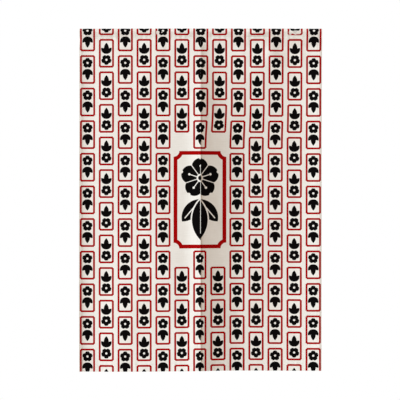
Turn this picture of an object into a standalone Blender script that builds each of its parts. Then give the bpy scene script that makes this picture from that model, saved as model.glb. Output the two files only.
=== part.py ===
"""Partition curtain for a doorway: two hemmed cloth panels under a sewn rod pocket, with a centre slit.

Metres, +Z up. The origin is the middle of the top edge, where the curtain hangs.
+X is to the right seen from the front, and the front of the cloth faces -Y.
A drop is a distance below the top edge, and a depth is a Y, with forward towards -Y.
"""

import math
from collections import namedtuple

import bmesh
import bpy
from mathutils import Vector

# Driving dimensions of the whole curtain
WIDTH = 0.850
DROP = 1.200
CLOTH = 0.0012
FIT_GAP = 0.0003
SEAM_GAP = 0.0009

# Rod pocket: an empty tube that closes into its seam
POCKET_DEPTH = 0.0170
POCKET_WIDEST_DROP = 0.0110
POCKET_SEAM_DROP = 0.0300
POCKET_FOOT_DROP = 0.0334
SEAM_THICK = 0.0026
INNER_SEAM_HALF = 0.0003
POCKET_STATIONS = 20
POCKET_ARC_STEPS = 8
POCKET_SIDE_STEPS = 3

# Panels: hems, slit and mesh steps
SIDE_HEM = 0.016
SLIT_HEM = 0.011
BOTTOM_HEM = 0.026
HEM_THICK = 0.0024
HEM_STEP = 0.003
PANEL_COLUMNS = 17
PANEL_ROWS = 26

# The slit: butted above its top, and below it the right panel goes behind the left one
SLIT_TOP_DROP = 0.185
SLIT_PARTED_DROP = 0.300
SLIT_SET_BACK = 0.0032
SLIT_OVERLAP = 0.0070
OVERLAP_FROM_DROP = 0.265
OVERLAP_FULL_DROP = 0.420
TUCK_SLOPE = 0.15

# Fold shapes shared by every drop
CURL_POWER = 1.5
SWING_REACH = 0.40
SIDE_CURL_REACH = 0.013
RIGHT_CURL_REACH = 0.038
RIGHT_CURL_SHARE = 0.42
RIDGE_FREE_DROP = 0.090

# Each wave adds height * sin(per_metre * position + phase)
Wave = namedtuple("Wave", "height per_metre phase")
SEAM_SWAY = (Wave(0.0003, 7.3, 0.6), Wave(0.0002, 17.0, 2.0))
POCKET_SLACK = (Wave(0.0003, 15.0, 0.8), Wave(0.0010, 7.0, 0.8))
TOP_SAG = Wave(0.0004, 6.0, math.pi / 2)
BOTTOM_LIFT = Wave(0.0010, 9.0, 1.1)
LEFT_DRAW_IN = Wave(0.0004, 5.1, 0.4)
RIGHT_DRAW_IN = Wave(0.0004, 5.1, 2.3)
DRAW_IN_FULL_DROP = 0.300

CLOTH_COLOUR = (0.84, 0.80, 0.74, 1.0)
CLOTH_ROUGHNESS = 0.9
SHARP_ANGLE = math.radians(40.0)

# The hanging section at eight drops
# left_curl: how far the left panel's slit edge comes forward, over left_reach
# left_bow: how far the left panel bows back between its edges, or forward where it is negative
# right_deep: how far the right panel falls back beside the slit, over right_reach
# right_swing: how far it swings back on the way to its outer edge
# hem_curl: how far the left side hem turns forward
# forward: how far both panels hang forward of the pocket, so that the folds lie about its plane
Level = namedtuple(
    "Level",
    "drop left_curl left_reach left_bow right_deep right_reach right_swing hem_curl forward",
)
LEVELS = (
    Level(0.0334, 0.0000, 0.030, 0.0000, 0.0000, 0.036, 0.0000, 0.0000, 0.000),
    Level(0.0700, 0.0008, 0.030, -0.0020, 0.0058, 0.042, 0.0080, 0.0045, 0.002),
    Level(0.1400, 0.0016, 0.029, -0.0028, 0.0078, 0.054, 0.0135, 0.0053, 0.006),
    Level(0.2600, 0.0028, 0.028, -0.0032, 0.0130, 0.094, 0.0205, 0.0058, 0.012),
    Level(0.4200, 0.0032, 0.029, -0.0038, 0.0222, 0.150, 0.0245, 0.0064, 0.015),
    Level(0.6600, 0.0034, 0.031, -0.0044, 0.0235, 0.152, 0.0240, 0.0064, 0.015),
    Level(0.9400, 0.0036, 0.035, -0.0034, 0.0200, 0.146, 0.0240, 0.0068, 0.015),
    Level(1.2000, 0.0056, 0.056, -0.0026, 0.0210, 0.146, 0.0250, 0.0080, 0.016),
)

# Soft ridges that stand forward of the section, or back where height is negative
Ridge = namedtuple("Ridge", "x drop half_length half_width lean_deg height")
RIDGES = (
    Ridge(0.200, 0.130, 0.075, 0.042, -50.0, 0.0034),
    Ridge(0.228, 0.070, 0.060, 0.040, -20.0, 0.0040),
    Ridge(0.300, 0.250, 0.120, 0.050, -28.0, -0.0018),
    Ridge(-0.165, 0.125, 0.070, 0.038, 35.0, 0.0020),
    Ridge(-0.340, 0.420, 0.260, 0.070, 6.0, 0.0022),
    Ridge(-0.120, 0.830, 0.300, 0.060, -8.0, 0.0020),
    Ridge(0.235, 0.700, 0.280, 0.055, 9.0, 0.0016),
    Ridge(0.375, 0.900, 0.240, 0.050, 4.0, 0.0016),
    Ridge(-0.270, 1.060, 0.150, 0.050, 12.0, 0.0018),
)


def smooth(value, low, high):
    """0 below low, 1 above high, and an even S between them."""
    share = min(1.0, max(0.0, (value - low) / (high - low)))
    return share * share * (3.0 - 2.0 * share)


def wave_at(position, *waves):
    """The sum of some waves at a position."""
    return sum(w.height * math.sin(w.per_metre * position + w.phase) for w in waves)


def level_at(drop):
    """The section's sizes at a drop, eased between the rows of LEVELS."""
    for upper, lower in zip(LEVELS, LEVELS[1:]):
        if drop <= lower.drop:
            share = smooth(drop, upper.drop, lower.drop)
            return Level(*(a + (b - a) * share for a, b in zip(upper, lower)))
    return LEVELS[-1]


def ridge_depth(x, drop):
    """What the soft ridges add to the depth. They fade out at the pocket seam."""
    total = 0.0
    for ridge in RIDGES:
        lean = math.radians(ridge.lean_deg)
        right, down = x - ridge.x, drop - ridge.drop
        across = right * math.cos(lean) + down * math.sin(lean)
        along = down * math.cos(lean) - right * math.sin(lean)
        fall = (across / ridge.half_width) ** 2 + (along / ridge.half_length) ** 2
        total -= ridge.height * math.exp(-fall)
    return total * smooth(drop, POCKET_FOOT_DROP, RIDGE_FREE_DROP)


def left_depth(x, drop):
    """Depth of the left panel's middle surface."""
    level = level_at(drop)
    from_slit = max(0.0, -x)
    from_side = max(0.0, x + WIDTH / 2)
    curl = -level.left_curl * math.exp(-((from_slit / level.left_reach) ** CURL_POWER))
    bow = level.left_bow * math.sin(math.pi * min(1.0, from_side / (WIDTH / 2))) ** 2
    hem = -level.hem_curl * math.exp(-from_side / SIDE_CURL_REACH)
    return wave_at(x, *SEAM_SWAY) - level.forward + curl + bow + hem + ridge_depth(x, drop)


def right_depth(x, drop):
    """Depth of the right panel's middle surface, which starts from the left panel's slit edge."""
    level = level_at(drop)
    from_slit = max(0.0, x)
    from_side = max(0.0, WIDTH / 2 - x)
    start = SLIT_SET_BACK * smooth(drop, SLIT_TOP_DROP, SLIT_PARTED_DROP)
    start -= level.left_curl + level.forward
    tuck = TUCK_SLOPE * max(0.0, -x)
    deep = level.right_deep * math.sin(0.5 * math.pi * min(1.0, from_slit / level.right_reach))
    swing = level.right_swing * math.sin(0.5 * math.pi * min(1.0, from_slit / SWING_REACH))
    curl = RIGHT_CURL_SHARE * level.hem_curl * math.exp(-((from_side / RIGHT_CURL_REACH) ** 2))
    return wave_at(x, *SEAM_SWAY) + start + tuck + deep + swing - curl + ridge_depth(x, drop)


def slit_edge(side, drop):
    """X of a panel's slit edge. Below the slit's top the right panel's runs behind the left one."""
    if side < 0:
        return -SEAM_GAP / 2
    return SEAM_GAP / 2 - SLIT_OVERLAP * smooth(drop, OVERLAP_FROM_DROP, OVERLAP_FULL_DROP)


def outer_edge(side, drop):
    """X of a panel's outer edge, drawn in a little below the pocket."""
    wave = LEFT_DRAW_IN if side < 0 else RIGHT_DRAW_IN
    drawn_in = wave.height + wave_at(drop, wave)
    return side * (WIDTH / 2 - drawn_in * smooth(drop, POCKET_FOOT_DROP, DRAW_IN_FULL_DROP))


def bottom_drop(x):
    """Drop of the bottom edge at x, lifted by a slow wave."""
    return DROP - BOTTOM_LIFT.height - wave_at(x, BOTTOM_LIFT)


def grid_marks(length, first_hem, last_hem, steps):
    """Distances of grid lines across a panel, with close pairs where each hem's edge is."""
    lines = [0.0]
    start = 0.0
    if first_hem:
        start = first_hem + HEM_STEP
        lines += [first_hem, start]
    end = length - last_hem - HEM_STEP
    lines += [start + (end - start) * i / steps for i in range(1, steps)]
    return lines + [end, length - last_hem, length]


def panel_mesh(name, side):
    """An open grid in the shape of one hanging panel. side is -1 for the left panel, 1 for the right."""
    top = POCKET_FOOT_DROP + FIT_GAP
    half, length = WIDTH / 2, DROP - top
    depth = left_depth if side < 0 else right_depth
    bm = bmesh.new()
    thickness = bm.verts.layers.deform.verify()
    grid = []
    for down in grid_marks(length, 0.0, BOTTOM_HEM, PANEL_ROWS):
        slit_x, outer_x = slit_edge(side, top + down), outer_edge(side, top + down)
        line = []
        for across in grid_marks(half, SIDE_HEM, SLIT_HEM, PANEL_COLUMNS):
            x = outer_x + (slit_x - outer_x) * across / half
            drop = top + down * (bottom_drop(x) - top) / length
            vert = bm.verts.new(Vector((x, depth(x, drop), -drop)))
            hemmed = across <= SIDE_HEM or across >= half - SLIT_HEM or down >= length - BOTTOM_HEM
            vert[thickness][0] = 1.0 if hemmed else CLOTH / HEM_THICK
            line.append(vert)
        grid.append(line)
    for upper, lower in zip(grid, grid[1:]):
        for i in range(len(upper) - 1):
            corners = (upper[i], lower[i], lower[i + 1], upper[i + 1])
            bm.faces.new(corners if side < 0 else corners[::-1])
    mesh = bpy.data.meshes.new(name)
    bm.to_mesh(mesh)
    bm.free()
    mesh.shade_smooth()
    return mesh


def panel(name, side, material, collection):
    """One cloth panel: the hanging grid with the cloth's thickness, double at the hems."""
    obj = bpy.data.objects.new(name, panel_mesh(name, side))
    collection.objects.link(obj)
    group = obj.vertex_groups.new(name="thickness")
    cloth = obj.modifiers.new("cloth", "SOLIDIFY")
    cloth.thickness = HEM_THICK
    cloth.offset = 0.0
    cloth.vertex_group = group.name
    obj.data.materials.append(material)
    return obj


def pocket_loop(half_depth, top_drop, seam_half, foot_drop):
    """One loop of the pocket's section as (depth, z): a round top, straight sides and a narrow foot."""
    round_top = []
    for i in range(POCKET_ARC_STEPS + 1):
        angle = math.pi * i / POCKET_ARC_STEPS
        rise = (POCKET_WIDEST_DROP - top_drop) * math.sin(angle)
        round_top.append((half_depth * math.cos(angle), rise - POCKET_WIDEST_DROP))
    side = []
    for i in range(1, POCKET_SIDE_STEPS + 1):
        share = i / POCKET_SIDE_STEPS
        drop = POCKET_WIDEST_DROP + (POCKET_SEAM_DROP - POCKET_WIDEST_DROP) * share
        side.append((half_depth + (seam_half - half_depth) * share, -drop))
    if foot_drop:
        side.append((seam_half, -foot_drop))
    return round_top + [(-y, z) for y, z in side] + side[::-1]


def pocket_section(x):
    """Outer and inner loops of the pocket at x, as points."""
    half_depth = POCKET_DEPTH / 2 + wave_at(x, *POCKET_SLACK)
    top_drop = TOP_SAG.height - wave_at(x, TOP_SAG)
    sway = wave_at(x, *SEAM_SWAY)
    outer = pocket_loop(half_depth, top_drop, SEAM_THICK / 2, POCKET_FOOT_DROP)
    inner = pocket_loop(half_depth - CLOTH, top_drop + CLOTH, INNER_SEAM_HALF, 0.0)
    return [[Vector((x, y + sway, z)) for y, z in loop] for loop in (outer, inner)]


def bridge_rings(bm, first, second):
    """A band of faces between two rings that hold the same number of points."""
    for i in range(len(first)):
        j = (i + 1) % len(first)
        bm.faces.new((first[i], first[j], second[j], second[i]))


def fill_end(bm, loops):
    """Closes the cloth's cut edge between the outer and inner loops of one end."""
    edges = []
    for loop in loops:
        edges += [bm.edges.get((vert, loop[(i + 1) % len(loop)])) for i, vert in enumerate(loop)]
    bmesh.ops.triangle_fill(bm, edges=edges, use_beauty=True)


def pocket(name, material, collection):
    """The rod pocket: a flat tube of cloth, open at both ends."""
    bm = bmesh.new()
    stations = []
    for i in range(POCKET_STATIONS + 1):
        x = WIDTH * (i / POCKET_STATIONS - 0.5)
        stations.append([[bm.verts.new(p) for p in loop] for loop in pocket_section(x)])
    for near, far in zip(stations, stations[1:]):
        for near_loop, far_loop in zip(near, far):
            bridge_rings(bm, near_loop, far_loop)
    fill_end(bm, stations[0])
    fill_end(bm, stations[-1])
    bmesh.ops.recalc_face_normals(bm, faces=bm.faces)
    mesh = bpy.data.meshes.new(name)
    bm.to_mesh(mesh)
    bm.free()
    mesh.shade_smooth()
    mesh.set_sharp_from_angle(angle=SHARP_ANGLE)
    obj = bpy.data.objects.new(name, mesh)
    collection.objects.link(obj)
    obj.data.materials.append(material)
    return obj


def cloth_material(name):
    """A matt off-white cloth."""
    material = bpy.data.materials.new(name)
    material.use_nodes = True
    shader = material.node_tree.nodes["Principled BSDF"]
    shader.inputs["Base Color"].default_value = CLOTH_COLOUR
    shader.inputs["Roughness"].default_value = CLOTH_ROUGHNESS
    shader.inputs["Metallic"].default_value = 0.0
    return material


def clear_scene():
    """Removes whatever the open file holds."""
    for obj in list(bpy.data.objects):
        bpy.data.objects.remove(obj, do_unlink=True)


def build():
    """Makes the curtain's three pieces in a collection of their own."""
    clear_scene()
    collection = bpy.data.collections.new("partition_curtain")
    bpy.context.scene.collection.children.link(collection)
    pocket("heading", cloth_material("heading_cloth"), collection)
    panel("panel_left", -1, cloth_material("left_cloth"), collection)
    panel("panel_right", 1, cloth_material("right_cloth"), collection)


build()
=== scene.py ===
"""The looks of a split doorway curtain: printed plain-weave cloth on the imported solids' folds.

Metres, +Z up. The top edge's middle is the origin, and the front of the cloth faces -Y.
flat_x and flat_drop are places on the cloth as it was cut, before it was hung.
"""

import math
from collections import namedtuple

import bpy
import numpy as np
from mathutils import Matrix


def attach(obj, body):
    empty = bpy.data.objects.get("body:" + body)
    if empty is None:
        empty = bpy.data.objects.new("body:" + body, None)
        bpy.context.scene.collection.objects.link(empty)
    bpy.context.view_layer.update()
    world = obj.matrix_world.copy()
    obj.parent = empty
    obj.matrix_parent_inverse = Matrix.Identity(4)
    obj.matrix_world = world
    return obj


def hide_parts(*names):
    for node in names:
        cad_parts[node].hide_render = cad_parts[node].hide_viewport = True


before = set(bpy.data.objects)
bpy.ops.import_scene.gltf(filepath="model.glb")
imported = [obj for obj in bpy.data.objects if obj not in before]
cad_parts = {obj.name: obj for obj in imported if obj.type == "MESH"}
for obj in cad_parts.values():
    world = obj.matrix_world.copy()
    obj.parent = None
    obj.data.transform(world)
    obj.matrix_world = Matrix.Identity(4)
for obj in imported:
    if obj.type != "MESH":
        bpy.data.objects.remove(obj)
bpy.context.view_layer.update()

# The curtain's own sizes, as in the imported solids
WIDTH = 0.850
HALF = WIDTH / 2
DROP = 1.200
POCKET_DEPTH = 0.0170
POCKET_WIDEST_DROP = 0.0110
POCKET_SEAM_DROP = 0.0300
POCKET_FOOT_DROP = 0.0334
SIDE_HEM = 0.016
SLIT_HEM = 0.011
BOTTOM_HEM = 0.026
SLIT_TOP_DROP = 0.185
SLIT_PARTED_DROP = 0.300
SLIT_OVERLAP = 0.0070
OVERLAP_FROM_DROP = 0.265
OVERLAP_FULL_DROP = 0.420
TUCK_SLOPE = 0.15
CURL_POWER = 1.5
SWING_REACH = 0.40
SIDE_CURL_REACH = 0.013
RIGHT_CURL_REACH = 0.038
RIGHT_CURL_SHARE = 0.42
RIDGE_FREE_DROP = 0.090
DRAW_IN_FULL_DROP = 0.300

# Closer together than the solids, because the cloth is thinner
FIT_GAP = 0.00004
SLIT_SET_BACK = 0.0021

# Each wave adds height * sin(per_metre * position + phase)
Wave = namedtuple("Wave", "height per_metre phase")
SEAM_SWAY = (Wave(0.0003, 7.3, 0.6), Wave(0.0002, 17.0, 2.0))
POCKET_SLACK = (Wave(0.0003, 15.0, 0.8), Wave(0.0010, 7.0, 0.8))
TOP_SAG = Wave(0.0004, 6.0, math.pi / 2)
BOTTOM_LIFT = Wave(0.0010, 9.0, 1.1)
LEFT_DRAW_IN = Wave(0.0004, 5.1, 0.4)
RIGHT_DRAW_IN = Wave(0.0004, 5.1, 2.3)

# The hanging section at eight drops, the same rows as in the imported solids
Level = namedtuple(
    "Level",
    "drop left_curl left_reach left_bow right_deep right_reach right_swing hem_curl forward",
)
LEVELS = (
    Level(0.0334, 0.0000, 0.030, 0.0000, 0.0000, 0.036, 0.0000, 0.0000, 0.000),
    Level(0.0700, 0.0008, 0.030, -0.0020, 0.0058, 0.042, 0.0080, 0.0045, 0.002),
    Level(0.1400, 0.0016, 0.029, -0.0028, 0.0078, 0.054, 0.0135, 0.0053, 0.006),
    Level(0.2600, 0.0028, 0.028, -0.0032, 0.0130, 0.094, 0.0205, 0.0058, 0.012),
    Level(0.4200, 0.0032, 0.029, -0.0038, 0.0222, 0.150, 0.0245, 0.0064, 0.015),
    Level(0.6600, 0.0034, 0.031, -0.0044, 0.0235, 0.152, 0.0240, 0.0064, 0.015),
    Level(0.9400, 0.0036, 0.035, -0.0034, 0.0200, 0.146, 0.0240, 0.0068, 0.015),
    Level(1.2000, 0.0056, 0.056, -0.0026, 0.0210, 0.146, 0.0250, 0.0080, 0.016),
)

# Soft ridges that stand forward of the section, or back where height is negative
Ridge = namedtuple("Ridge", "x drop half_length half_width lean_deg height")
RIDGES = (
    Ridge(0.200, 0.130, 0.075, 0.042, -50.0, 0.0034),
    Ridge(0.228, 0.070, 0.060, 0.040, -20.0, 0.0040),
    Ridge(0.300, 0.250, 0.120, 0.050, -28.0, -0.0018),
    Ridge(-0.165, 0.125, 0.070, 0.038, 35.0, 0.0020),
    Ridge(-0.340, 0.420, 0.260, 0.070, 6.0, 0.0022),
    Ridge(-0.120, 0.830, 0.300, 0.060, -8.0, 0.0020),
    Ridge(0.235, 0.700, 0.280, 0.055, 9.0, 0.0016),
    Ridge(0.375, 0.900, 0.240, 0.050, 4.0, 0.0016),
    Ridge(-0.270, 1.060, 0.150, 0.050, 12.0, 0.0018),
)

# Finer creases that only the cloth has: soft troughs, or ridges where depth is negative
CREASE_END = 0.08
Crease = namedtuple("Crease", "x drop to_x to_drop half_width depth")
CREASES = (
    Crease(0.120, 0.041, 0.380, 0.042, 0.009, 0.0013),
    Crease(0.200, 0.030, 0.285, 0.130, 0.024, -0.0024),
    Crease(0.018, 0.036, 0.021, 0.130, 0.016, 0.0009),
    Crease(-0.046, 0.300, -0.044, 1.120, 0.026, 0.0012),
    Crease(0.004, 0.190, 0.075, 0.300, 0.010, 0.0010),
    Crease(0.006, 0.196, 0.050, 0.420, 0.009, 0.0007),
    Crease(-0.006, 0.188, -0.062, 0.270, 0.010, 0.0006),
    Crease(0.120, 0.040, 0.165, 0.135, 0.011, -0.0008),
    Crease(0.236, 0.038, 0.205, 0.120, 0.012, 0.0010),
    Crease(0.290, 0.036, 0.270, 0.090, 0.009, 0.0008),
    Crease(0.345, 0.038, 0.352, 0.150, 0.012, -0.0008),
    Crease(-0.110, 0.038, -0.128, 0.110, 0.010, 0.0006),
    Crease(-0.215, 0.036, -0.205, 0.085, 0.009, 0.0006),
    Crease(-0.365, 0.038, -0.350, 0.160, 0.013, -0.0008),
    Crease(0.060, 0.560, 0.105, 0.760, 0.016, 0.0008),
    Crease(0.165, 0.860, 0.120, 1.060, 0.018, 0.0007),
    Crease(0.300, 0.480, 0.330, 0.700, 0.016, -0.0009),
    Crease(-0.235, 0.540, -0.200, 0.760, 0.018, 0.0007),
    Crease(-0.300, 0.880, -0.320, 1.080, 0.016, -0.0006),
    Crease(-0.060, 0.930, -0.048, 1.170, 0.014, 0.0008),
    Crease(0.040, 1.000, 0.062, 1.190, 0.014, 0.0009),
)

# Swellings of the pocket's front, or hollows where height is negative
Bulge = namedtuple("Bulge", "x half_width height")
BULGES = (
    Bulge(-0.330, 0.045, 0.0010),
    Bulge(-0.150, 0.050, -0.0008),
    Bulge(0.020, 0.040, 0.0010),
    Bulge(0.200, 0.046, 0.0042),
    Bulge(0.330, 0.040, -0.0010),
)

# The cloth itself: thickness, hems turned to the back, and puckers along the sewing
CLOTH = 0.0007
HEM_EXTRA = 0.0009
HEM_STEP = 0.0008
EDGE_ROUND = 0.0014
EDGE_SHARE = 0.25
SIDE_STITCH = 0.0140
SLIT_STITCH = 0.0092
BOTTOM_STITCH = 0.0238
GROOVE_DEPTH = 0.00028
GROOVE_HALF = 0.0009
BACK_INK = 0.26
PUCKER_HEIGHT = 0.00032
PUCKER_REACH = 0.014
PUCKERS = (Wave(0.60, 2 * math.pi / 0.0172, 0.3), Wave(0.40, 2 * math.pi / 0.0271, 1.9))
PUCKER_SWELL = Wave(0.45, 2 * math.pi / 0.117, 0.7)
PUCKER_SHIFT = 0.010
EDGE_ROLL = 0.0012
EDGE_ROLL_REACH = 0.0035
RUFFLE_HEIGHT = 0.00035
RUFFLE_COUNT = 14
RUFFLE_SEED = 11
RUFFLE_PER_X = (14, 62)
RUFFLE_PER_DROP = (-26, 26)
RUFFLE_SHARE = (0.3, 1.0)
FINE_FREE_DROP = 0.050

# The pocket's cloth: its puckers, less at the back, the half thickness of its seam, the ripple of
# its top edge, and where the hollow ends in the seam
POCKET_INSET = 0.0002
POCKET_PUCKER = 1.6
POCKET_PUCKER_SHIFT = 0.31
POCKET_BACK_SHARE = 0.6
POCKET_HEM_SHARE = 0.6
POCKET_SIDE_POWER = 1.12
POCKET_SEAM_HALF = 0.0011
HOLLOW_SEAM_HALF = 0.0002
HOLLOW_FOOT_HALF = 0.00015
HOLLOW_FOOT_DROP = 0.0298
TOP_RIPPLE = Wave(0.00025, 2 * math.pi / 0.031, 0.0)
TOP_RIPPLE_DROP = 0.004

# Mesh steps, and the close lines on both sides of a hem's edge or a row of stitches
COLUMN_STEP = 0.0036
ROW_STEP = 0.0058
CLOSE_LINES = (-0.0010, -0.0004, 0.0, 0.0004, 0.0010)
LEAST_STEP = 0.0003
POCKET_COLUMN_STEP = 0.0038
POCKET_SIDE_STEPS = 14
POCKET_ARC_STEPS = 16
SLOPE_STEP = 0.0004
SHARP_DEG = 50

# Stitches. A ring's place is in stitch lengths, and its size in radii
STITCH_PITCH = 0.0034
STITCH_LENGTH = 0.0026
STITCH_RADIUS = 0.00030
STITCH_LIFT = 0.3 * STITCH_RADIUS
STITCH_SIDES = 5
STITCH_RING_PLACES = (-0.5, -0.30, 0.30, 0.5)
STITCH_RING_SIZES = (0.15, 1.0, 1.0, 0.15)
ROW_END_IN = 0.003
CORNER_IN = 0.002
POCKET_THREAD_LIFT = 0.00002

# Print, in millimetres on the cloth, from the middle of its centre frame
MM = 1000.0
PRINT_MIDDLE_DROP = 0.600
TAG_PITCH_X = 66.0
TAG_PITCH_Z = 114.0
CENTRE_CLEAR_X = 104.0
CENTRE_CLEAR_Z = 176.0
TAG_DROPPED_X = 100.0
TAG_DROPPED_Z = 200.0

# A frame's half sizes, line and corner notch, and its motifs' places and sizes. The last four are
# fine details, as shares of a motif's size: half the gap between petals, half a light line, the
# pistil's radius, and the gap beside the middle leaf. One that is NONE is left out
NONE = -0.3
Frame = namedtuple(
    "Frame",
    "half_x half_z line notch bloom_z bloom leaf_z leaf leaf_wide gap cut pistil apart",
)
TAG = Frame(26.5, 50.5, 6.7, 4.0, 23.0, 18.4, 2.0, 41.0, 0.070, NONE, NONE, NONE, NONE)
CENTRE = Frame(95.0, 170.5, 13.4, 20.0, 76.0, 70.0, 2.0, 150.0, 0.060, 0.018, 0.012, 0.13, 0.030)

# The flower, as shares of its radius. Stamen sizes are in cuts
PETAL_TURN = math.radians(36)
PETAL_OUT = 0.575
PETAL_RADIUS = 0.425
PETAL_SQUEEZE = 0.95
NOTCH_OUT = 1.02
NOTCH_RADIUS = 0.085
EYE_RADIUS = 0.205
STAMEN_HALF = 1.7
STAMEN_REACH = 0.54
STAMEN_TIP_OUT = 0.60
STAMEN_TIP_RADIUS = 4.8

# The three leaves, as shares of the spray's length. A frame's leaf_wide adds to their half widths
Leaf = namedtuple("Leaf", "length half_width rib_reach")
MIDDLE_LEAF = Leaf(0.96, 0.145, 0.80)
SIDE_LEAF = Leaf(0.68, 0.105, 0.58)
LEAF_LEAN = math.radians(40.0)

# Inks and the cloth's ground, with its darker and lighter yarns as shares of it
GROUND = (0.875, 0.845, 0.796)
DARK_YARN = (0.83, 0.80, 0.77)
LIGHT_YARN = (1.12, 1.13, 1.145)
BLACK_INK = (0.0022, 0.0015, 0.0015)
RED_INK = (0.360, 0.0007, 0.0010)
INK_EDGE_PER_MM = 2.2
BLEED_MM = 0.6

# How much the streaks along both yarns and the mottle add to the tone, and to the bump
YARNS_PER_METRE = 1450.0
WEFT_TONE = 0.55
WARP_TONE = 0.30
MOTTLE_TONE = 0.25
WEAVE_BUMP = 0.5
WEFT_BUMP = 1.3
WARP_BUMP = 0.8
BUMP_STRENGTH = 0.35
BUMP_DISTANCE = 0.00022
CLOTH_ROUGHNESS = 0.80
WEFT_ROUGHNESS = 0.14
INK_SMOOTHNESS = 0.08
CLOTH_SPECULAR = 0.04

# Camera, stage and light
PIXELS = 400
METRES_PER_PIXEL = 0.0035
CURTAIN_MIDDLE_PX = 200.75
TOP_EDGE_PX = 28.5
LENS_MM = 200.0
SENSOR_MM = 36.0
FLOOR_DROP = 2.20
FLOOR_SIZE = 2.6
FLOOR_COLOUR = (0.78, 0.78, 0.77)
FLOOR_ROUGHNESS = 0.6
WORLD_LIGHT = (0.480, 0.386, 0.306)
LAMP_HEIGHT = 2.0

# Far, broad lights. side_deg goes from straight in front to the left, and rise_deg up from level
Lamp = namedtuple("Lamp", "name side_deg rise_deg spread_deg strength colour")
LAMPS = (
    Lamp("key", 67.0, 12.0, 54.0, 5.30, (0.775, 0.905, 1.0)),
    Lamp("back_fill", 200.0, 25.0, 80.0, 1.3, (1.0, 0.98, 0.96)),
)


def smooth(value, low, high):
    """0 below low, 1 above high, and an even S between them."""
    share = np.clip((value - low) / (high - low), 0.0, 1.0)
    return share * share * (3.0 - 2.0 * share)


def wave_at(position, *waves):
    """The sum of some waves at a position."""
    return sum(w.height * np.sin(w.per_metre * position + w.phase) for w in waves)


def level_at(drop):
    """The section's sizes at each drop, eased between the rows of LEVELS."""
    table = np.array(LEVELS)
    row = np.clip(np.searchsorted(table[:, 0], drop, side="left"), 1, len(LEVELS) - 1)
    share = smooth(drop, table[row - 1, 0], table[row, 0])[..., None]
    eased = table[row - 1] + (table[row] - table[row - 1]) * share
    return Level(*np.moveaxis(eased, -1, 0))


def ridge_depth(x, drop):
    """What the soft ridges add to the depth. They fade out at the pocket seam."""
    total = 0.0
    for ridge in RIDGES:
        lean = math.radians(ridge.lean_deg)
        right, down = x - ridge.x, drop - ridge.drop
        across = right * math.cos(lean) + down * math.sin(lean)
        along = down * math.cos(lean) - right * math.sin(lean)
        fall = (across / ridge.half_width) ** 2 + (along / ridge.half_length) ** 2
        total = total - ridge.height * np.exp(-fall)
    return total * smooth(drop, POCKET_FOOT_DROP, RIDGE_FREE_DROP)


def left_depth(x, drop):
    """Depth of the left panel's middle surface."""
    level = level_at(drop)
    from_slit = np.maximum(0.0, -x)
    from_side = np.maximum(0.0, x + HALF)
    curl = -level.left_curl * np.exp(-((from_slit / level.left_reach) ** CURL_POWER))
    bow = level.left_bow * np.sin(math.pi * np.minimum(1.0, from_side / HALF)) ** 2
    hem = -level.hem_curl * np.exp(-from_side / SIDE_CURL_REACH)
    return wave_at(x, *SEAM_SWAY) - level.forward + curl + bow + hem + ridge_depth(x, drop)


def right_depth(x, drop):
    """Depth of the right panel's middle surface, which starts from the left panel's slit edge."""
    level = level_at(drop)
    from_slit = np.maximum(0.0, x)
    from_side = np.maximum(0.0, HALF - x)
    start = SLIT_SET_BACK * smooth(drop, SLIT_TOP_DROP, SLIT_PARTED_DROP)
    start -= level.left_curl + level.forward
    tuck = TUCK_SLOPE * np.maximum(0.0, -x)
    deep = level.right_deep * np.sin(0.5 * math.pi * np.minimum(1.0, from_slit / level.right_reach))
    swing = level.right_swing * np.sin(0.5 * math.pi * np.minimum(1.0, from_slit / SWING_REACH))
    curl = RIGHT_CURL_SHARE * level.hem_curl * np.exp(-((from_side / RIGHT_CURL_REACH) ** 2))
    return wave_at(x, *SEAM_SWAY) + start + tuck + deep + swing - curl + ridge_depth(x, drop)


def slit_edge(side, drop):
    """X of a panel's slit edge. Below the slit's top the right panel's runs behind the left one."""
    if side < 0:
        return np.full_like(drop, -FIT_GAP / 2)
    return FIT_GAP / 2 - SLIT_OVERLAP * smooth(drop, OVERLAP_FROM_DROP, OVERLAP_FULL_DROP)


def outer_edge(side, drop):
    """X of a panel's outer edge, drawn in a little below the pocket."""
    wave = LEFT_DRAW_IN if side < 0 else RIGHT_DRAW_IN
    drawn_in = wave.height + wave_at(drop, wave)
    return side * (HALF - drawn_in * smooth(drop, POCKET_FOOT_DROP, DRAW_IN_FULL_DROP))


def bottom_drop(x):
    """Drop of the bottom edge at x, lifted by a slow wave."""
    return DROP - BOTTOM_LIFT.height - wave_at(x, BOTTOM_LIFT)


def crease_depth(flat_x, flat_drop):
    """What the finer creases add to the depth."""
    total = np.zeros_like(flat_x)
    for crease in CREASES:
        run = np.array([crease.to_x - crease.x, crease.to_drop - crease.drop])
        length = float(np.hypot(*run))
        right, down = flat_x - crease.x, flat_drop - crease.drop
        along = (right * run[0] + down * run[1]) / length**2
        nearest = np.clip(along, 0.0, 1.0)
        off = np.hypot(right - nearest * run[0], down - nearest * run[1])
        fade = np.sin(math.pi * (CREASE_END + (1.0 - 2 * CREASE_END) * nearest))
        total += crease.depth * fade * np.exp(-((off / crease.half_width) ** 2))
    return total


def sewn_line(distance, along):
    """A groove along a row of stitches, and the puckers beside it."""
    swell = 1.0 + wave_at(along, PUCKER_SWELL)
    pucker = PUCKER_HEIGHT * swell * wave_at(along, *PUCKERS) * np.exp(-np.abs(distance) / PUCKER_REACH)
    return pucker + GROOVE_DEPTH * np.exp(-((distance / GROOVE_HALF) ** 2))


def pocket_sewn_line(distance, x):
    """The deeper groove and puckers of the row that closes the pocket."""
    return POCKET_PUCKER * sewn_line(distance, x + POCKET_PUCKER_SHIFT)


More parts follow.
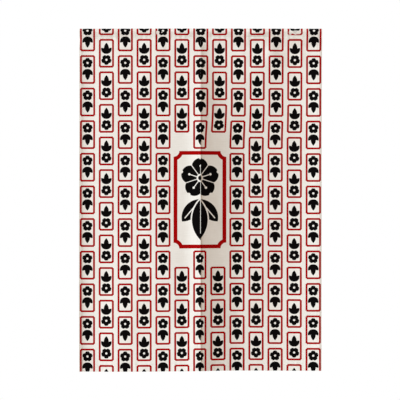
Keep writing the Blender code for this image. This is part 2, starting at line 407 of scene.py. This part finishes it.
def ruffle_depth(flat_x, flat_drop):
    """Faint unevenness over the whole cloth, from a few crossing waves."""
    random = np.random.default_rng(RUFFLE_SEED)
    total = np.zeros_like(flat_x)
    for _ in range(RUFFLE_COUNT):
        per_x, per_drop = random.uniform(*RUFFLE_PER_X), random.uniform(*RUFFLE_PER_DROP)
        phase, height = random.uniform(0, 2 * math.pi), random.uniform(*RUFFLE_SHARE)
        total += height * np.sin(per_x * flat_x + per_drop * flat_drop + phase)
    return RUFFLE_HEIGHT * total / math.sqrt(RUFFLE_COUNT)


def fine_depth(flat_x, flat_drop):
    """Everything that the cloth has beyond the solids' folds. It is least at the pocket seam."""
    from_side = HALF - np.abs(flat_x)
    from_bottom = DROP - flat_drop
    total = crease_depth(flat_x, flat_drop) + ruffle_depth(flat_x, flat_drop)
    total = total * smooth(flat_drop, POCKET_SEAM_DROP, FINE_FREE_DROP)
    total += EDGE_ROLL * np.exp(-((from_side / EDGE_ROLL_REACH) ** 2))
    total += sewn_line(from_side - SIDE_STITCH, flat_drop)
    apart = PUCKER_SHIFT * smooth(flat_drop, SLIT_TOP_DROP, SLIT_PARTED_DROP)
    total += sewn_line(np.abs(flat_x) - SLIT_STITCH, flat_drop + apart * np.sign(flat_x))
    total += sewn_line(from_bottom - BOTTOM_STITCH, flat_x)
    return total + pocket_sewn_line(flat_drop - POCKET_SEAM_DROP, flat_x)


def middle(side, flat_x, flat_drop):
    """The hanging place of each point of the cut cloth, on its middle surface."""
    top = POCKET_FOOT_DROP + FIT_GAP
    length = DROP - top
    across = HALF - side * flat_x
    slit_x, outer_x = slit_edge(side, flat_drop), outer_edge(side, flat_drop)
    x = outer_x + (slit_x - outer_x) * across / HALF
    drop = top + (flat_drop - top) * (bottom_drop(x) - top) / length
    depth = left_depth(x, drop) if side < 0 else right_depth(x, drop)
    return np.stack([x, depth + fine_depth(flat_x, flat_drop), -drop], axis=-1)


def backward(side, flat_x, flat_drop):
    """The unit normal of the middle surface, pointing to the back."""
    step = SLOPE_STEP
    along_x = middle(side, flat_x + step, flat_drop) - middle(side, flat_x - step, flat_drop)
    along_drop = middle(side, flat_x, flat_drop + step) - middle(side, flat_x, flat_drop - step)
    normal = np.cross(along_drop, along_x)
    normal /= np.linalg.norm(normal, axis=-1, keepdims=True)
    return normal * np.sign(normal[..., 1:2])


def hem_share(flat_x, flat_drop):
    """1 where a hem is turned to the back, 0 elsewhere, with a short step between."""
    to_edges = (HALF - np.abs(flat_x), np.abs(flat_x), DROP - flat_drop)
    hems = (SIDE_HEM, SLIT_HEM, BOTTOM_HEM)
    turned = [smooth(to_edge, hem + HEM_STEP, hem) for to_edge, hem in zip(to_edges, hems)]
    full = smooth(np.minimum.reduce(to_edges), 0.0, EDGE_ROUND)
    return np.maximum.reduce(turned) * (EDGE_SHARE + (1.0 - EDGE_SHARE) * full)


def grid_lines(low, high, step, special):
    """Even lines from low to high, with close ones at the special places."""
    lines = list(np.linspace(low, high, round((high - low) / step) + 1))
    for place in special:
        near = [place + offset for offset in CLOSE_LINES]
        near = [line for line in near if low + LEAST_STEP < line < high - LEAST_STEP]
        clear = CLOSE_LINES[-1] + LEAST_STEP
        lines = [line for line in lines if line in (low, high) or abs(line - place) > clear] + near
    return np.array(sorted(lines))


def quads(index):
    """Faces to the front, from a grid of vertex indices whose rows run down and columns run right."""
    corners = [index[:-1, :-1], index[1:, :-1], index[1:, 1:], index[:-1, 1:]]
    return np.stack(corners, axis=-1).reshape(-1, 4)


def strip(first, second):
    """Faces between two equal rows of vertex indices."""
    return np.stack([first[:-1], first[1:], second[1:], second[:-1]], axis=-1)


def mesh_object(name, points, faces, uv, ink, material):
    """A piece from its vertices and faces, with cloth coordinates and a share of ink for each face."""
    mesh = bpy.data.meshes.new(name)
    mesh.from_pydata([tuple(p) for p in points], [], [tuple(f) for f in faces])
    layer = mesh.uv_layers.new(name="Cloth")
    layer.data.foreach_set("uv", np.ascontiguousarray(uv.reshape(-1), dtype=np.float32))
    shown = mesh.attributes.new("print_share", "FLOAT", "FACE")
    shown.data.foreach_set("value", np.ascontiguousarray(ink, dtype=np.float32))
    mesh.shade_smooth()
    mesh.set_sharp_from_angle(angle=math.radians(SHARP_DEG))
    obj = bpy.data.objects.new(name, mesh)
    bpy.context.scene.collection.objects.link(obj)
    mesh.materials.append(material)
    return obj


def turned_over(side, uv, centre):
    """The back's cloth coordinates, and which are in hems. A turned hem shows the printed face."""
    in_side = HALF - np.abs(centre[:, 0]) < SIDE_HEM
    in_slit = np.abs(centre[:, 0]) < SLIT_HEM
    in_bottom = DROP + centre[:, 1] < BOTTOM_HEM
    turned = uv.copy()
    turned[in_side, ..., 0] = side * 2 * HALF - turned[in_side, ..., 0]
    turned[in_slit, ..., 0] *= -1
    turned[in_bottom, ..., 1] = -2 * DROP - turned[in_bottom, ..., 1]
    return turned, in_side | in_slit | in_bottom


def panel_sheet(name, side, material):
    """One hanging panel as a closed thin sheet, whose back shows a ghost of the print."""
    low, high = (-HALF, -FIT_GAP / 2) if side < 0 else (FIT_GAP / 2, HALF)
    marks = [side * (HALF - place) for place in (SIDE_HEM, SIDE_STITCH, EDGE_ROUND)]
    marks += [side * place for place in (SLIT_HEM, SLIT_STITCH, EDGE_ROUND)]
    columns = grid_lines(low, high, COLUMN_STEP, marks)
    top = POCKET_FOOT_DROP + FIT_GAP
    rows = grid_lines(top, DROP, ROW_STEP, [DROP - BOTTOM_HEM, DROP - BOTTOM_STITCH])
    flat_x, flat_drop = np.meshgrid(columns, rows)
    mid, out = middle(side, flat_x, flat_drop), backward(side, flat_x, flat_drop)
    front = mid - out * CLOTH / 2
    back = mid + out * (CLOTH / 2 + HEM_EXTRA * hem_share(flat_x, flat_drop))[..., None]
    count = flat_x.size
    index = np.arange(count).reshape(flat_x.shape)
    behind = index + count
    faces = [quads(index), quads(behind)[:, ::-1]]
    faces.append(strip(index[0], behind[0]))
    faces.append(strip(index[-1][::-1], behind[-1][::-1]))
    faces.append(strip(index[::-1, 0], behind[::-1, 0]))
    faces.append(strip(index[:, -1], behind[:, -1]))
    is_back = slice(len(faces[0]), len(faces[0]) + len(faces[1]))
    faces = np.concatenate(faces)
    flat = np.stack([flat_x, -flat_drop], axis=-1).reshape(-1, 2)
    uv = flat[faces % count]
    ink = np.ones(len(faces))
    uv[is_back], hemmed = turned_over(side, uv[is_back], uv[is_back].mean(axis=1))
    ink[is_back] = np.where(hemmed, 1.0, BACK_INK)
    points = np.concatenate([front.reshape(-1, 3), back.reshape(-1, 3)])
    return mesh_object(name, points, faces, uv, ink, material)


def pocket_path(half_depth, top_drop, seam_half, foot_half, foot_drop):
    """The pocket's section as (depth, z) from its front foot, over the top, to its back foot."""
    up = [(foot_half, -foot_drop)]
    for i in range(POCKET_SIDE_STEPS, 0, -1):
        share = i / POCKET_SIDE_STEPS
        drop = POCKET_WIDEST_DROP + (POCKET_SEAM_DROP - POCKET_WIDEST_DROP) * share
        up.append((half_depth + (seam_half - half_depth) * share**POCKET_SIDE_POWER, -drop))
    arc = []
    for i in range(POCKET_ARC_STEPS + 1):
        angle = math.pi * i / POCKET_ARC_STEPS
        rise = (POCKET_WIDEST_DROP - top_drop) * math.sin(angle)
        arc.append((-half_depth * math.cos(angle), rise - POCKET_WIDEST_DROP))
    return np.array([(-y, z) for y, z in up] + arc + up[::-1])


def pocket_bulge(x, z):
    """Soft swellings of the pocket's front. They are least at its top and its seam."""
    total = sum(b.height * np.exp(-(((x - b.x) / b.half_width) ** 2)) for b in BULGES)
    return total * np.sin(math.pi * np.clip(-z / POCKET_SEAM_DROP, 0.0, 1.0))


def pocket_walls(x):
    """The outer and inner faces of the pocket's cloth at x, as points from foot to foot."""
    hem = smooth(HALF - abs(x), SIDE_HEM + HEM_STEP, SIDE_HEM)
    wall = CLOTH + POCKET_HEM_SHARE * HEM_EXTRA * hem
    half_depth = POCKET_DEPTH / 2 + wave_at(x, *POCKET_SLACK) - POCKET_INSET
    top_drop = TOP_SAG.height - wave_at(x, TOP_SAG)
    outer = pocket_path(half_depth, top_drop, POCKET_SEAM_HALF, POCKET_SEAM_HALF, POCKET_FOOT_DROP)
    inner = pocket_path(
        half_depth - wall, top_drop + wall, HOLLOW_SEAM_HALF, HOLLOW_FOOT_HALF, HOLLOW_FOOT_DROP
    )
    sway = wave_at(x, *SEAM_SWAY)
    return [np.column_stack([np.full(len(p), x), p[:, 0] + sway, p[:, 1]]) for p in (outer, inner)]


def pocket_sheet(name, material):
    """The rod pocket as a thin tube of cloth, open at both ends, thicker at its side hems."""
    stations = grid_lines(-HALF, HALF, POCKET_COLUMN_STEP, [SIDE_HEM - HALF, HALF - SIDE_HEM])
    walls = np.array([pocket_walls(x) for x in stations])
    outer, inner = walls[:, 0], walls[:, 1]
    steps = np.linalg.norm(np.diff(outer, axis=1), axis=2)
    arcs = np.pad(np.cumsum(steps, axis=1), ((0, 0), (1, 0))) - POCKET_FOOT_DROP
    flat_x = np.repeat(stations[:, None], outer.shape[1], axis=1)
    is_front = outer[..., 1] < wave_at(flat_x, *SEAM_SWAY)
    pucker = pocket_sewn_line(-outer[..., 2] - POCKET_SEAM_DROP, flat_x)
    outer[..., 1] += pucker * np.where(is_front, 1.0, POCKET_BACK_SHARE)
    outer[..., 1] -= pocket_bulge(flat_x, outer[..., 2]) * is_front
    outer[..., 2] += wave_at(flat_x, TOP_RIPPLE) * (outer[..., 2] > -TOP_RIPPLE_DROP)
    count = outer.shape[0] * outer.shape[1]
    ring = np.arange(count).reshape(outer.shape[:2])
    ring = np.concatenate([ring, ring[:, :1]], axis=1)
    hollow = ring + count
    faces = [quads(ring), quads(hollow)[:, ::-1]]
    faces.append(strip(ring[0], hollow[0]))
    faces.append(strip(ring[-1][::-1], hollow[-1][::-1]))
    is_hollow = slice(len(faces[0]), len(faces[0]) + len(faces[1]))
    faces = np.concatenate(faces)
    flat = np.stack([flat_x, arcs], axis=-1).reshape(-1, 2)
    uv = flat[faces % count]
    ink = np.ones(len(faces))
    ink[is_hollow] = BACK_INK
    points = np.concatenate([outer.reshape(-1, 3), inner.reshape(-1, 3)])
    return mesh_object(name, points, faces, uv, ink, material)


def stitches(name, rows, material):
    """Short thread ends in rows. A row is (places, directions, outward normals, cloth coordinates)."""
    rings = list(zip(STITCH_RING_PLACES, STITCH_RING_SIZES))
    angles = 2 * math.pi * np.arange(STITCH_SIDES) / STITCH_SIDES
    template = []
    for near in range(0, (len(rings) - 1) * STITCH_SIDES, STITCH_SIDES):
        far = near + STITCH_SIDES
        for k in range(STITCH_SIDES):
            n = (k + 1) % STITCH_SIDES
            template.append((near + k, near + n, far + n, far + k))
    template += [tuple(range(STITCH_SIDES))[::-1], tuple(far + k for k in range(STITCH_SIDES))]
    corners = sum(len(face) for face in template)
    points, faces, uv = [], [], []
    start = 0
    for places, directions, normals, flat in rows:
        across = np.cross(directions, normals)
        across /= np.linalg.norm(across, axis=1, keepdims=True)
        uv.append(np.repeat(flat, corners, axis=0))
        for place, along, sideways, out in zip(places, directions, across, normals):
            for shift, size in rings:
                centre = place + along * shift * STITCH_LENGTH
                for angle in angles:
                    outward = math.cos(angle) * sideways + math.sin(angle) * out
                    points.append(centre + size * STITCH_RADIUS * outward)
            faces += [tuple(start + corner for corner in face) for face in template]
            start += len(rings) * STITCH_SIDES
    return mesh_object(name, points, faces, np.concatenate(uv), np.ones(len(faces)), material)


def stitch_row(side, start, end, faces_front):
    """One straight row of stitches on a panel's front or back, from a flat (x, drop) to another."""
    start, end = np.array(start), np.array(end)
    length = float(np.linalg.norm(end - start))
    count = int(length / STITCH_PITCH)
    share = (np.arange(count) + 0.5) / count
    flat = start + (end - start) * share[:, None]
    ahead = flat + (end - start) / length * SLOPE_STEP
    mid = middle(side, flat[:, 0], flat[:, 1])
    along = middle(side, ahead[:, 0], ahead[:, 1]) - mid
    along /= np.linalg.norm(along, axis=1, keepdims=True)
    out = backward(side, flat[:, 0], flat[:, 1])
    uv = flat * (1.0, -1.0)
    lift = CLOTH / 2 + STITCH_LIFT
    if faces_front:
        return mid - out * lift, along, -out, uv
    turned, _ = turned_over(side, uv, uv)
    return mid + out * (lift + HEM_EXTRA), along, out, turned


def panel_stitching(name, side, material):
    """Rows along a panel's side hem, slit hem and bottom hem, on both faces."""
    top, bottom, hem = POCKET_FOOT_DROP + ROW_END_IN, DROP - ROW_END_IN, DROP - BOTTOM_STITCH
    outer, slit = side * (HALF - SIDE_STITCH), side * SLIT_STITCH
    lines = [
        ((outer, top), (outer, bottom)),
        ((slit, top), (slit, bottom)),
        ((side * (HALF - CORNER_IN), hem), (side * CORNER_IN, hem)),
    ]
    rows = [stitch_row(side, a, b, front) for a, b in lines for front in (True, False)]
    return stitches(name, rows, material)


def pocket_stitching(name, material):
    """The row that closes the pocket, on both faces."""
    length = WIDTH - 2 * ROW_END_IN
    count = int(length / STITCH_PITCH)
    x = (np.arange(count) + 0.5) / count * length - length / 2
    pucker = pocket_sewn_line(np.zeros_like(x), x)
    rows = []
    for sign, share in ((-1.0, 1.0), (1.0, POCKET_BACK_SHARE)):
        y = wave_at(x, *SEAM_SWAY) + share * pucker + sign * (POCKET_SEAM_HALF + POCKET_THREAD_LIFT)
        places = np.column_stack([x, y, np.full_like(x, -POCKET_SEAM_DROP)])
        along = np.tile([1.0, 0.0, 0.0], (count, 1))
        out = np.tile([0.0, sign, 0.0], (count, 1))
        uv = np.column_stack([x, np.full_like(x, sign * POCKET_SEAM_DROP)])
        rows.append((places, along, out, uv))
    return stitches(name, rows, material)


class Field:
    """A number that varies over a surface. Each sum, product or comparison makes a Math node."""

    def __init__(self, tree, source):
        self.tree = tree
        self.source = source

    def join(self, operation, *others):
        """A Math node of this Field and others, as a Field."""
        node = self.tree.nodes.new("ShaderNodeMath")
        node.operation = operation
        for socket, value in zip(node.inputs, (self, *others)):
            if isinstance(value, Field):
                self.tree.links.new(value.source, socket)
            else:
                socket.default_value = value
        return Field(self.tree, node.outputs[0])

    def __add__(self, other):
        return self.join("ADD", other)

    def __sub__(self, other):
        return self.join("SUBTRACT", other)

    def __mul__(self, other):
        return self.join("MULTIPLY", other)

    def __truediv__(self, other):
        return self.join("DIVIDE", other)

    def __abs__(self):
        return self.join("ABSOLUTE")

    def more(self, other):
        """The larger of this and other."""
        return self.join("MAXIMUM", other)

    def less(self, other):
        """The smaller of this and other."""
        return self.join("MINIMUM", other)

    def below(self, other):
        """1 where this is less than other, else 0."""
        return self.join("LESS_THAN", other)

    def clamped(self):
        """This, held between 0 and 1."""
        node = self.join("ADD", 0.0)
        node.source.node.use_clamp = True
        return node


def length_of(a, b):
    """The length of the vector with these two sides."""
    return (a * a + b * b).join("SQRT")


def pick(share, low, high):
    """low where share is 0 and high where it is 1. low is a Field, or both are numbers."""
    return share * (low * -1.0 + high) + low


def blossom(x, z, gap_half, cut, pistil):
    """Signed distance to a five-petal flower of radius 1, with light gaps, eye and stamens."""
    angle = x.join("ARCTAN2", z).join("PINGPONG", PETAL_TURN)
    r = length_of(x, z)
    out = r * angle.join("COSINE")
    off = r * angle.join("SINE")
    petal = length_of(out - PETAL_OUT, off * PETAL_SQUEEZE) - PETAL_RADIUS
    gap = off * math.cos(PETAL_TURN) - out * math.sin(PETAL_TURN) + gap_half
    notch = length_of(out - NOTCH_OUT, off) * -1.0 + NOTCH_RADIUS
    eye = r * -1.0 + EYE_RADIUS
    stamen = (off - cut * STAMEN_HALF).more(out - STAMEN_REACH) * -1.0
    tip = length_of(out - STAMEN_TIP_OUT, off) * -1.0 + cut * STAMEN_TIP_RADIUS
    shape = petal.more(gap).more(notch).more(eye).more(stamen).more(tip)
    return shape.less(r - pistil)


def leaf(along, across, length, half_width):
    """Signed distance to a pointed leaf."""
    radius = (half_width * half_width + length * length / 4) / (half_width * 2)
    return length_of(along - length / 2, abs(across) + (radius - half_width)) - radius


def leaf_spray(x, z, wide, cut, apart):
    """Signed distance to three leaves that hang from the origin, about 1 long, with light midribs."""
    off = abs(x)
    down = z * -1.0
    along = off * math.sin(LEAF_LEAN) + down * math.cos(LEAF_LEAN)
    across = off * math.cos(LEAF_LEAN) - down * math.sin(LEAF_LEAN)
    middle_leaf = leaf(down, x, MIDDLE_LEAF.length, wide + MIDDLE_LEAF.half_width)
    side_leaf = leaf(along, across, SIDE_LEAF.length, wide + SIDE_LEAF.half_width)
    beside = middle_leaf * -1.0 + apart
    middle_rib = (off - cut).more(down - MIDDLE_LEAF.rib_reach) * -1.0
    side_rib = (abs(across) - cut).more(along - SIDE_LEAF.rib_reach) * -1.0
    return middle_leaf.more(middle_rib).less(side_leaf.more(beside).more(side_rib))


def print_fields(tree, uv):
    """Ink masks of the black motifs and the red frames, from cloth coordinates."""
    split = tree.nodes.new("ShaderNodeSeparateXYZ")
    tree.links.new(uv, split.inputs[0])
    x = Field(tree, split.outputs[0]) * MM
    z = Field(tree, split.outputs[1]) * MM + PRINT_MIDDLE_DROP * MM
    column = (x / TAG_PITCH_X + 0.5).join("FLOOR")
    odd = column.join("FLOORED_MODULO", 2.0)
    shift = odd * (TAG_PITCH_Z / 2)
    row = ((z - shift) / TAG_PITCH_Z + 0.5).join("FLOOR")
    tag_x = column * TAG_PITCH_X
    tag_z = row * TAG_PITCH_Z + shift
    dropped = abs(tag_x).below(TAG_DROPPED_X) * abs(tag_z).below(TAG_DROPPED_Z)
    centre = abs(x).below(CENTRE_CLEAR_X) * abs(z).below(CENTRE_CLEAR_Z)
    kept = (dropped * -1.0 + 1.0).more(centre)
    own_x = pick(centre, x - tag_x, x)
    own_z = pick(centre, (z - tag_z) * (odd * -2.0 + 1.0), z)
    size = Frame(*(pick(centre, small, large) for small, large in zip(TAG, CENTRE)))
    in_x, in_z = size.half_x - abs(own_x), size.half_z - abs(own_z)
    edge = (in_x.less(in_z) * -1.0).more(size.notch - length_of(in_x, in_z))
    frame_line = edge.more((edge + size.line) * -1.0)
    bloom_x, bloom_z = own_x / size.bloom, (own_z - size.bloom_z) / size.bloom
    bloom = blossom(bloom_x, bloom_z, size.gap, size.cut, size.pistil)
    leaf_x, leaf_z = own_x / size.leaf, (own_z - size.leaf_z) / size.leaf
    spray = leaf_spray(leaf_x, leaf_z, size.leaf_wide, size.cut, size.apart) * size.leaf
    return (bloom * size.bloom).less(spray), frame_line, kept


def noise(tree, vector, scale, detail=2.0, stretch=(1.0, 1.0, 1.0), roughness=0.5):
    """Noise as a Field from 0 to 1, finer where scale is larger."""
    mapping = tree.nodes.new("ShaderNodeMapping")
    mapping.inputs["Scale"].default_value = stretch
    tree.links.new(vector, mapping.inputs["Vector"])
    node = tree.nodes.new("ShaderNodeTexNoise")
    node.inputs["Scale"].default_value = scale
    node.inputs["Detail"].default_value = detail
    node.inputs["Roughness"].default_value = roughness
    tree.links.new(mapping.outputs[0], node.inputs["Vector"])
    return Field(tree, node.outputs["Fac"])


# The colour sockets of a Mix node
MIX_LOW = 6
MIX_HIGH = 7
MIX_RESULT = 2


def mixed(tree, share, low, high):
    """A colour between low and high. Each is a colour or a socket."""
    node = tree.nodes.new("ShaderNodeMix")
    node.data_type = "RGBA"
    tree.links.new(share.source, node.inputs["Factor"])
    for socket, value in ((node.inputs[MIX_LOW], low), (node.inputs[MIX_HIGH], high)):
        if isinstance(value, tuple):
            socket.default_value = (*value, 1.0)
        else:
            tree.links.new(value, socket)
    return node.outputs[MIX_RESULT]


def cloth_material(name):
    """Off-white plain-weave cloth with slubs and a black and red print."""
    material = bpy.data.materials.new(name)
    material.use_nodes = True
    tree = material.node_tree
    shader = tree.nodes["Principled BSDF"]
    uv_node = tree.nodes.new("ShaderNodeUVMap")
    uv_node.uv_map = "Cloth"
    uv = uv_node.outputs[0]
    black, red, kept = print_fields(tree, uv)
    bleed = (noise(tree, uv, scale=900.0) - 0.5) * BLEED_MM
    attribute = tree.nodes.new("ShaderNodeAttribute")
    attribute.attribute_name = "print_share"
    shown = Field(tree, attribute.outputs["Fac"])
    streaks = noise(tree, uv, scale=30.0, detail=4.0, stretch=(1.0, 14.0, 1.0), roughness=0.65)
    warp_streaks = noise(tree, uv, scale=26.0, detail=4.0, stretch=(16.0, 1.0, 1.0), roughness=0.6)
    mottle = noise(tree, uv, scale=24.0, detail=3.0)
    tone = (streaks - 0.5) * WEFT_TONE + (warp_streaks - 0.5) * WARP_TONE
    tone = (tone + (mottle - 0.5) * MOTTLE_TONE + 0.5).clamped()
    darker = tuple(value * share for value, share in zip(GROUND, DARK_YARN))
    lighter = tuple(min(1.0, value * share) for value, share in zip(GROUND, LIGHT_YARN))
    ground = mixed(tree, tone, darker, lighter)
    black_ink = ((black + bleed) * -INK_EDGE_PER_MM + 0.5).clamped() * kept * shown
    red_ink = ((red + bleed) * -INK_EDGE_PER_MM + 0.5).clamped() * kept * shown
    inked = mixed(tree, red_ink, ground, RED_INK)
    inked = mixed(tree, black_ink, inked, BLACK_INK)
    tree.links.new(inked, shader.inputs["Base Color"])
    split = tree.nodes.new("ShaderNodeSeparateXYZ")
    tree.links.new(uv, split.inputs[0])
    turns = 2 * math.pi * YARNS_PER_METRE / 2
    warp = (Field(tree, split.outputs[0]) * turns).join("SINE")
    weft = (Field(tree, split.outputs[1]) * turns).join("SINE")
    weave = warp * weft * WEAVE_BUMP + streaks * WEFT_BUMP + warp_streaks * WARP_BUMP
    bump = tree.nodes.new("ShaderNodeBump")
    bump.inputs["Strength"].default_value = BUMP_STRENGTH
    bump.inputs["Distance"].default_value = BUMP_DISTANCE
    tree.links.new(weave.source, bump.inputs["Height"])
    tree.links.new(bump.outputs[0], shader.inputs["Normal"])
    roughness = streaks * WEFT_ROUGHNESS + CLOTH_ROUGHNESS - black_ink * INK_SMOOTHNESS
    tree.links.new(roughness.source, shader.inputs["Roughness"])
    shader.inputs["Specular IOR Level"].default_value = CLOTH_SPECULAR
    return material


def plain_material(name, colour, roughness):
    """An even matt colour, for the stage."""
    material = bpy.data.materials.new(name)
    material.use_nodes = True
    shader = material.node_tree.nodes["Principled BSDF"]
    shader.inputs["Base Color"].default_value = (*colour, 1.0)
    shader.inputs["Roughness"].default_value = roughness
    return material


def make_stage():
    """A plain pale floor below the picture."""
    bpy.ops.mesh.primitive_plane_add(size=FLOOR_SIZE, location=(0, 0, -FLOOR_DROP))
    floor = bpy.context.object
    floor.name = "floor"
    floor.data.materials.append(plain_material("floor_paint", FLOOR_COLOUR, FLOOR_ROUGHNESS))


def make_world():
    """White behind the curtain, and a weaker, warm light from all round."""
    world = bpy.data.worlds.new("studio")
    bpy.context.scene.world = world
    world.use_nodes = True
    tree = world.node_tree
    tree.nodes.clear()
    output = tree.nodes.new("ShaderNodeOutputWorld")
    mix = tree.nodes.new("ShaderNodeMixShader")
    path = tree.nodes.new("ShaderNodeLightPath")
    around = tree.nodes.new("ShaderNodeBackground")
    around.inputs["Color"].default_value = (*WORLD_LIGHT, 1.0)
    seen = tree.nodes.new("ShaderNodeBackground")
    seen.inputs["Color"].default_value = (1.0, 1.0, 1.0, 1.0)
    tree.links.new(path.outputs["Is Camera Ray"], mix.inputs["Fac"])
    tree.links.new(around.outputs[0], mix.inputs[1])
    tree.links.new(seen.outputs[0], mix.inputs[2])
    tree.links.new(mix.outputs[0], output.inputs["Surface"])


def make_lamps():
    """A broad soft light from the front left, and a weak one from behind."""
    for lamp in LAMPS:
        data = bpy.data.lights.new(lamp.name, "SUN")
        data.energy = lamp.strength
        data.color = lamp.colour
        data.angle = math.radians(lamp.spread_deg)
        obj = bpy.data.objects.new(lamp.name, data)
        obj.location = (0, 0, LAMP_HEIGHT)
        obj.rotation_euler = (math.radians(90 - lamp.rise_deg), 0, -math.radians(lamp.side_deg))
        bpy.context.scene.collection.objects.link(obj)


def make_camera():
    """Square to the curtain's front, framed as in the photograph."""
    data = bpy.data.cameras.new("camera")
    data.lens = LENS_MM
    data.sensor_width = SENSOR_MM
    camera = bpy.data.objects.new("camera", data)
    width = PIXELS * METRES_PER_PIXEL
    distance = width * LENS_MM / SENSOR_MM
    x = (PIXELS / 2 - CURTAIN_MIDDLE_PX) * METRES_PER_PIXEL
    z = (TOP_EDGE_PX - PIXELS / 2) * METRES_PER_PIXEL
    camera.location = (x, -distance, z)
    camera.rotation_euler = (math.pi / 2, 0, 0)
    bpy.context.scene.collection.objects.link(camera)
    bpy.context.scene.camera = camera
    bpy.context.scene.view_settings.view_transform = "Standard"


def dress(piece, node=None):
    """Puts a piece in the root body, and hides the solid behind it when one is named."""
    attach(piece, "root")
    if node:
        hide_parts(node)


def make_curtain():
    """The three pieces of cloth and their stitching."""
    cloth = cloth_material("printed_cloth")
    for name, side in (("left", -1), ("right", 1)):
        sewing = panel_stitching(f"{name}_stitching", side, cloth)
        dress(sewing)
        sheet = panel_sheet(f"{name}_cloth", side, cloth)
        dress(sheet, f"panel_{name}")
    sewing = pocket_stitching("heading_stitching", cloth)
    dress(sewing)
    pocket = pocket_sheet("heading_cloth", cloth)
    dress(pocket, "heading")


make_camera()
make_world()
make_lamps()
make_stage()
make_curtain()
